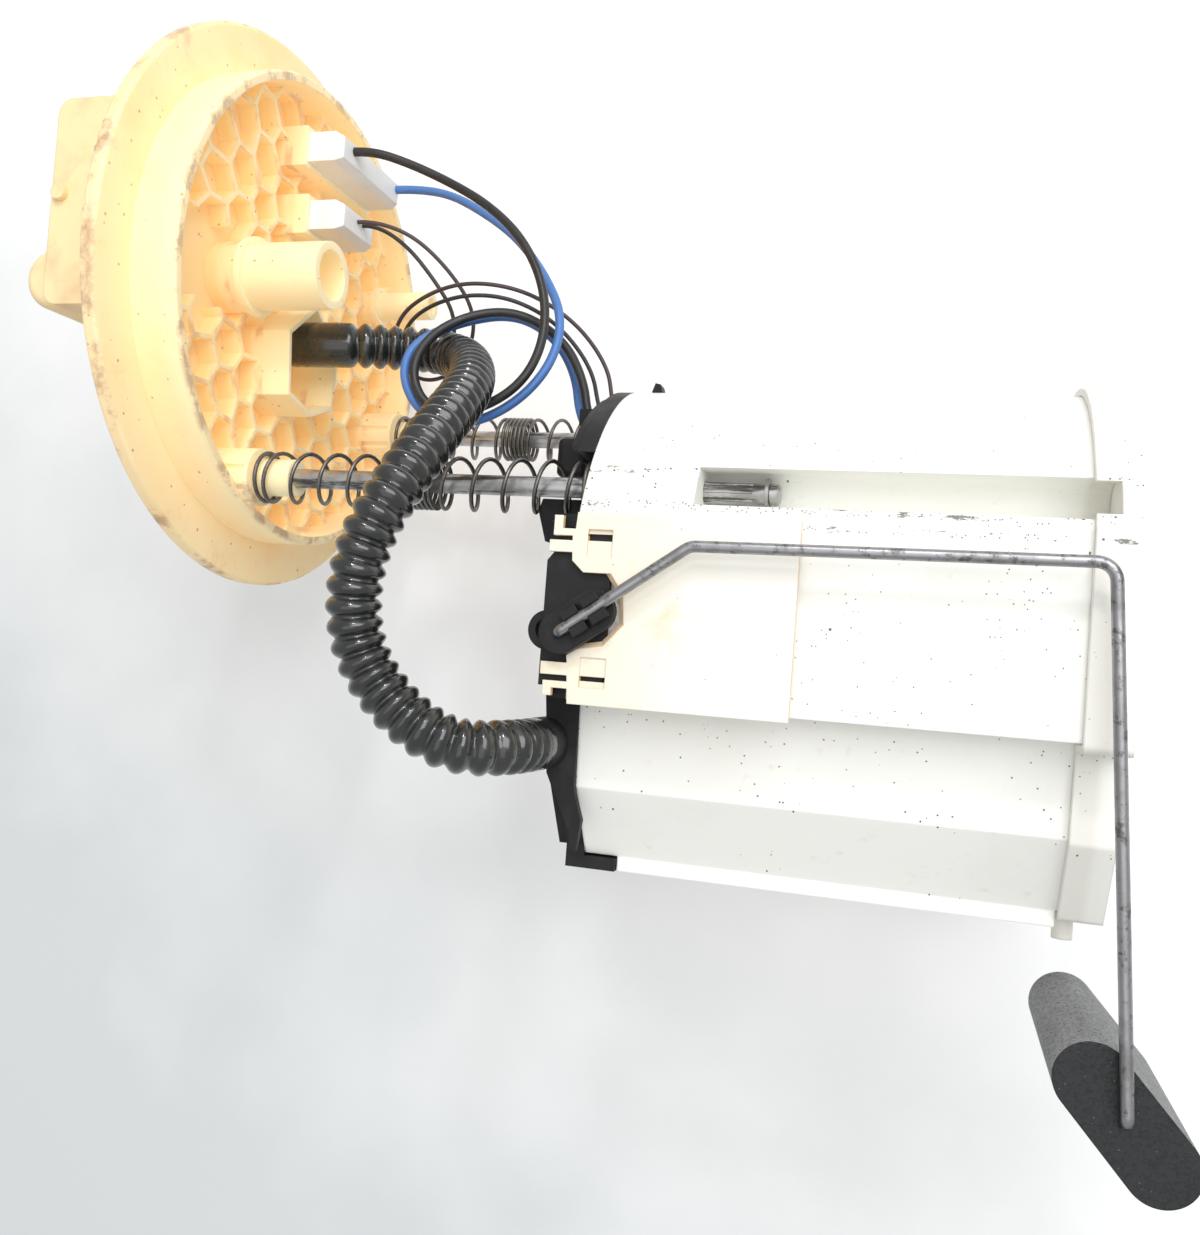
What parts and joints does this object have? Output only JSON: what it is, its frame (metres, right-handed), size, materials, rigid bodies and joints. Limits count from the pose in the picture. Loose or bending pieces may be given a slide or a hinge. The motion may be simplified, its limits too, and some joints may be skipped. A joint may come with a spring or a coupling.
{
  "type": "fuel pump module",
  "caption": "In-tank fuel pump module: ribbed round flange, sprung guide rods, corrugated hose, fuel reservoir with pump and filter, and a float-arm level sender.",
  "frame": {"origin": "centre of the flange's sealing face, on the tank-neck axis", "axes": "+Z along the neck axis to the outside of the tank; the level sender's flat faces -Y; the reservoir hangs towards -X"},
  "size_m": [0.2669, 0.16, 0.2868],
  "materials": {
    "flange_plastic": "semi-matte moulded acetal, aged pale yellow with fuel dirt",
    "shroud_plastic": "semi-matte moulded acetal, aged to amber",
    "terminal_metal": "tinned brass",
    "rod_metal": "drawn, satin",
    "spring_steel": "dark spring wire",
    "clip_steel": "stamped",
    "plug_plastic": "natural nylon",
    "hose_plastic": "black convolute, semi-gloss",
    "wire_black": "sheathed wire",
    "wire_blue": "sheathed wire",
    "wire_signal": "thin sheathed wire",
    "wire_ground": "thin sheathed wire",
    "bucket_plastic": "milky translucent acetal",
    "cover_plastic": "black moulded, matte",
    "lid_plastic": "dark grey moulded",
    "grommet_rubber": "soft moulded",
    "bracket_plastic": "cream acetal",
    "sender_plastic": "black moulded",
    "card_ceramic": "printed resistor card",
    "contact_metal": "spring alloy",
    "arm_steel": "drawn wire",
    "float_foam": "closed-cell float rubber, speckled",
    "can_steel": "plated",
    "pump_plastic": "moulded",
    "magnet": "ferrite",
    "copper_core": "wound core",
    "isolator_rubber": "soft moulded",
    "strainer_mesh": "fine nylon mesh over a flat frame",
    "filter_media": "pleated paper in a moulded frame"
  },
  "bodies": {
    "flange": {"flange": "flange_plastic", "connector_housing": "shroud_plastic", "connector_blades": "terminal_metal", "front_guide_rod": "rod_metal", "rear_guide_rod": "rod_metal", "rod_clips": "clip_steel", "front_spring": "spring_steel", "rear_spring": "spring_steel", "pump_plug": "plug_plastic", "sensor_plug": "plug_plastic", "fuel_hose": "hose_plastic", "pump_wire_black": "wire_black", "pump_wire_blue": "wire_blue", "sensor_wire_signal": "wire_signal", "sensor_wire_ground": "wire_ground"},
    "reservoir": {"reservoir": "bucket_plastic", "reservoir_base": "bucket_plastic", "reservoir_cap": "cover_plastic", "cap_lid": "lid_plastic", "wire_grommet": "grommet_rubber", "sensor_bracket": "bracket_plastic", "sensor_housing": "sender_plastic", "resistor_card": "card_ceramic", "pump_can": "can_steel", "pump_inlet_cover": "pump_plastic", "pump_outlet_cover": "pump_plastic", "pump_magnets": "magnet", "pump_isolator": "isolator_rubber", "fuel_filter": "filter_media", "inlet_strainer": "strainer_mesh"},
    "float_arm": {"wiper_contact": "contact_metal", "wiper_hub": "sender_plastic", "float_arm_wire": "arm_steel", "float": "float_foam"},
    "pump_rotor": {"pump_armature": "copper_core", "pump_impeller": "pump_plastic"}
  },
  "joints": [
    {"name": "reservoir_slide", "type": "slide", "parent": "flange", "child": "reservoir", "axis": [0, 0, 1], "range_m": [-0.0138, 0.035], "stiffness_N_per_m": 1500, "deforming": ["front_spring", "rear_spring", "fuel_hose", "pump_wire_black", "pump_wire_blue", "sensor_wire_signal", "sensor_wire_ground"]},
    {"name": "float_arm_swing", "type": "hinge", "parent": "reservoir", "child": "float_arm", "pos_m": [-0.0864, -0.045, -0.1084], "axis": [0, 1, 0], "range_deg": [0, 75]},
    {"name": "pump_spin", "type": "hinge", "parent": "reservoir", "child": "pump_rotor", "pos_m": [-0.08, 0.018, -0.178], "axis": [0, 0, 1], "continuous": true}
  ]
}
